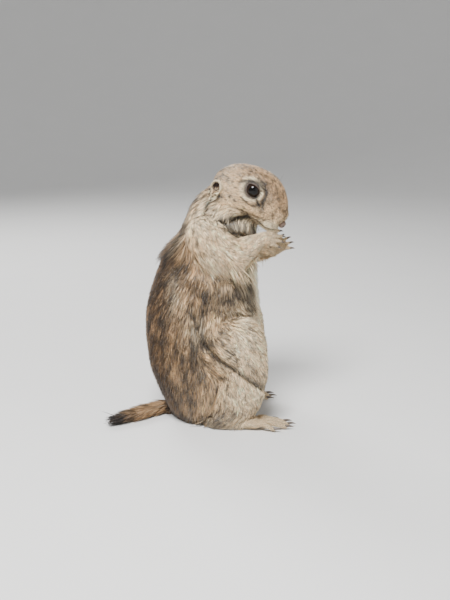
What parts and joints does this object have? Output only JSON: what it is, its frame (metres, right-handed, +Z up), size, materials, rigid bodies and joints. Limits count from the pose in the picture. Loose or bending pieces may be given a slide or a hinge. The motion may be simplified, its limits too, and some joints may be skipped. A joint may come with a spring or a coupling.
{
  "type": "prairie dog",
  "caption": "Prairie dog sitting up on its haunches, as a still life-size model, head turned a little and both hands raised to its mouth.",
  "frame": {"origin": "middle of the bounding box's base, on the ground that the feet, seat and tail rest on", "axes": "+X to the front of the animal, +Y to its left, +Z up"},
  "size_m": [0.1744, 0.1138, 0.2281],
  "materials": {
    "coat": "matt short fur, cinnamon buff",
    "pale_coat": "matt short fur, pale buff",
    "tail_coat": "matt bristly fur, darker to the tip",
    "skin": "thinly furred skin, pale buff",
    "claw": "smooth brown horn, paler at the tip",
    "nose": "bare brown skin",
    "eye": "wet dark gloss"
  },
  "bodies": {
    "root": {"torso": "coat", "neck": "coat", "head": "coat", "nose": "nose", "ear_right": "coat", "ear_left": "coat", "eye_right": "eye", "eye_left": "eye", "upper_arm_right": "pale_coat", "upper_arm_left": "pale_coat", "forearm_right": "pale_coat", "forearm_left": "pale_coat", "hand_right": "skin", "hand_left": "skin", "thigh_right": "coat", "thigh_left": "coat", "shank_right": "coat", "shank_left": "coat", "foot_right": "skin", "foot_left": "skin", "tail": "tail_coat", "claw_foot_right_1": "claw", "claw_foot_right_2": "claw", "claw_foot_right_3": "claw", "claw_foot_right_4": "claw", "claw_foot_right_5": "claw", "claw_foot_left_1": "claw", "claw_foot_left_2": "claw", "claw_foot_left_3": "claw", "claw_foot_left_4": "claw", "claw_foot_left_5": "claw", "claw_hand_right_1": "claw", "claw_hand_right_2": "claw", "claw_hand_right_3": "claw", "claw_hand_right_4": "claw", "claw_hand_left_1": "claw", "claw_hand_left_2": "claw", "claw_hand_left_3": "claw", "claw_hand_left_4": "claw"}
  },
  "joints": []
}
